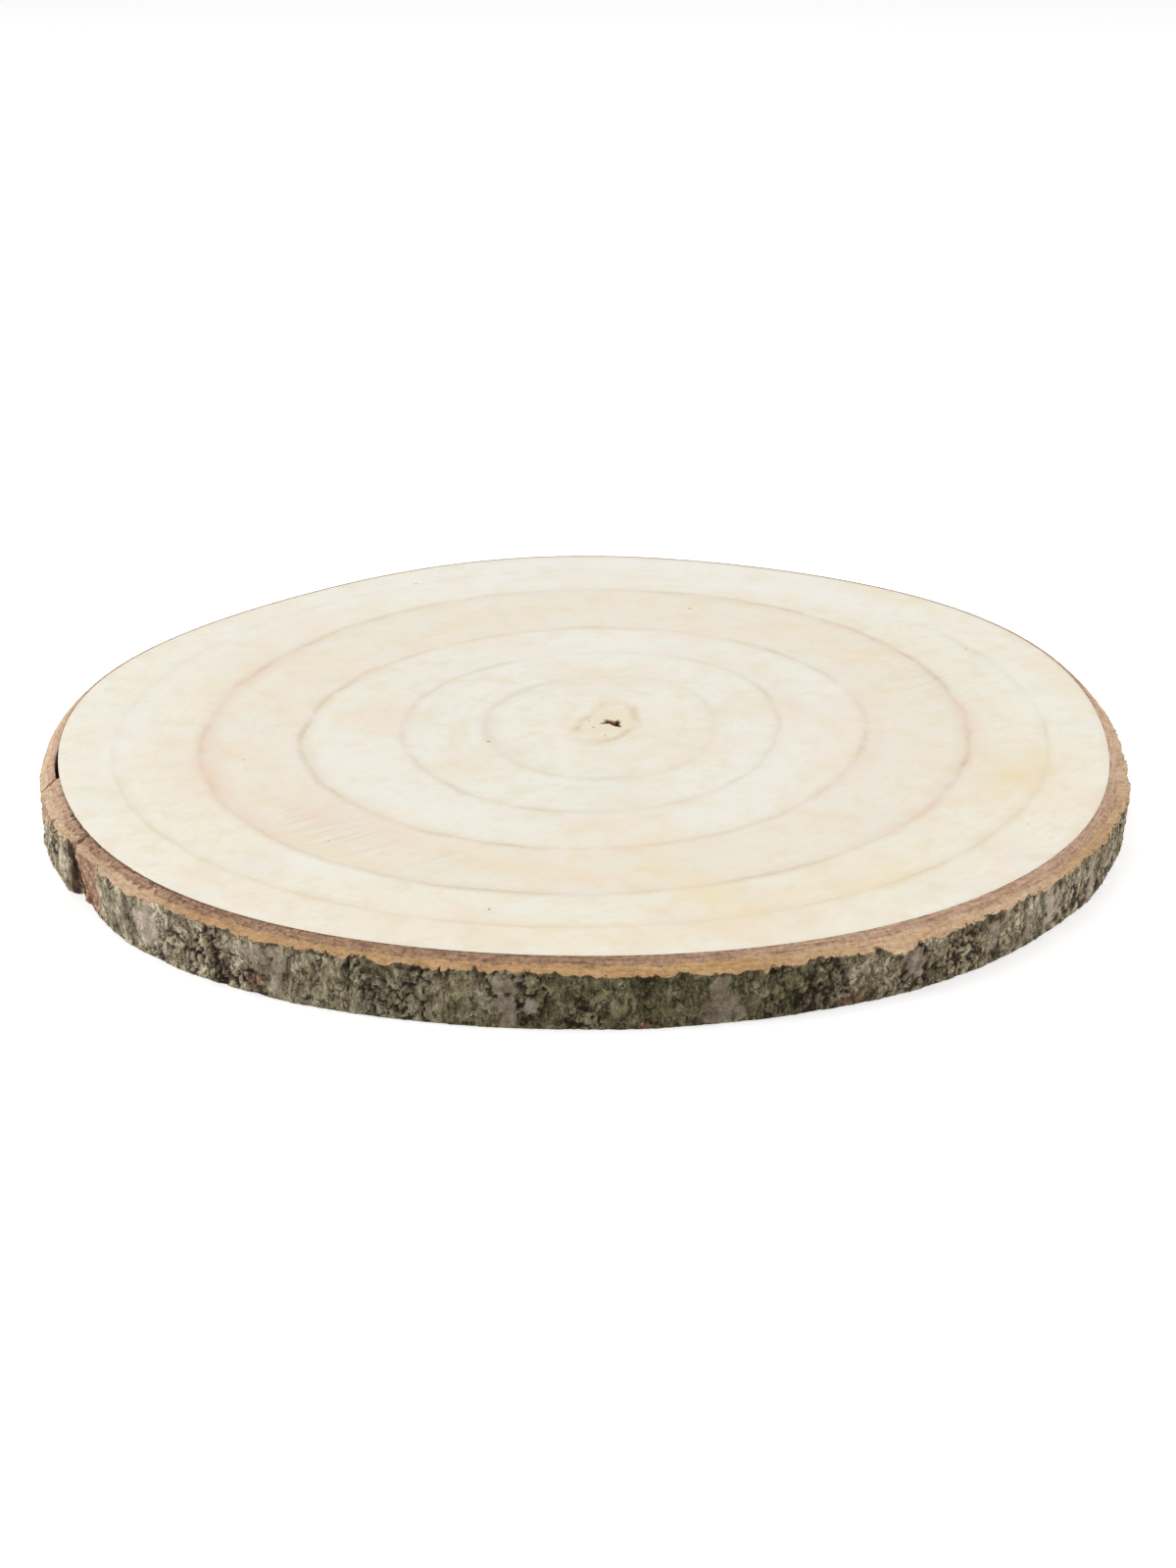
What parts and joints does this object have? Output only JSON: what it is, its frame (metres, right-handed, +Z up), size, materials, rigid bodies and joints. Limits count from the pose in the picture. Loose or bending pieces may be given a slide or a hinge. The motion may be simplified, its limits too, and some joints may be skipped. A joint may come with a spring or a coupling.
{
  "type": "wood slice with bark",
  "caption": "Round cross-cut slice of a pale, fast-grown trunk, lying flat, with ringed sawn faces, a small dried-out pith hole and rough bark round its edge.",
  "frame": {"origin": "on the surface it lies on, under the middle of the slice", "axes": "+Z up, square to the sawn faces; the deep crack in the bark is at the left, towards -X and -Y"},
  "size_m": [0.3003, 0.3031, 0.016],
  "materials": {
    "sawn_wood": "dry, fine-sawn and lightly sanded, matte",
    "bark": "rough, weathered, matte"
  },
  "bodies": {
    "root": {"wood": "sawn_wood", "bark_long": "bark", "bark_short": "bark"}
  },
  "joints": []
}
